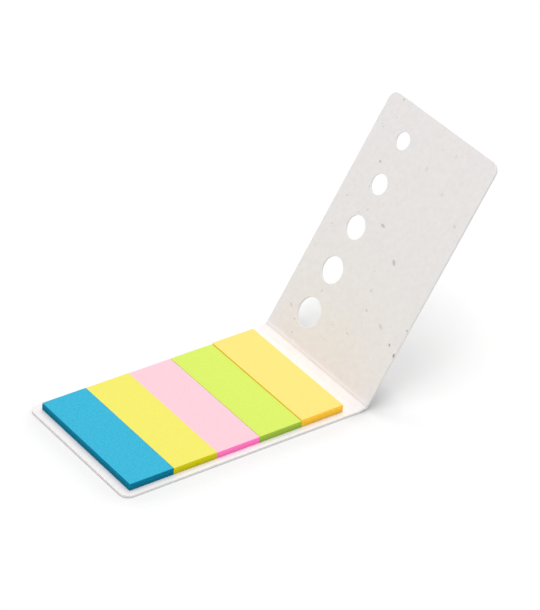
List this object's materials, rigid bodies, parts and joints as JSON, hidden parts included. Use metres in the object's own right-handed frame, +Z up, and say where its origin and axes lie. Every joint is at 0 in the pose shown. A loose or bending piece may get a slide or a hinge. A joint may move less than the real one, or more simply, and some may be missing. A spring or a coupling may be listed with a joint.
{
  "type": "notepad of sticky page markers",
  "caption": "Pocket booklet: a folded card cover with a row of round windows, holding side-by-side pads of sticky page markers.",
  "frame": {"origin": "middle of the back panel's underside, on the table", "axes": "+X from the back panel's free edge towards the folds, +Y along the length of each pad, +Z up out of the pads"},
  "size_m": [0.126, 0.05, 0.0717],
  "materials": {
    "card": "matt uncoated card with small plant flecks",
    "blue_paper": "matt coloured paper",
    "yellow_paper": "matt coloured paper",
    "pink_paper": "matt coloured paper",
    "green_paper": "matt coloured paper",
    "orange_paper": "matt coloured paper"
  },
  "bodies": {
    "back": {"back_panel": "card", "blue_pad": "blue_paper", "yellow_pad": "yellow_paper", "pink_pad": "pink_paper", "green_pad": "green_paper", "orange_pad": "orange_paper"},
    "spine": {"spine_strip": "card"},
    "cover": {"front_cover": "card"}
  },
  "joints": [
    {"name": "spine_fold", "type": "hinge", "parent": "back", "child": "spine", "pos_m": [0.04118, 0, 0.0007], "axis": [0, -1, 0], "range_deg": [-11.7, 78.3]},
    {"name": "cover_fold", "type": "hinge", "parent": "spine", "child": "cover", "pos_m": [0.04385, 0, 0.00125], "axis": [0, -1, 0], "range_deg": [-48.5, 41.5]}
  ]
}
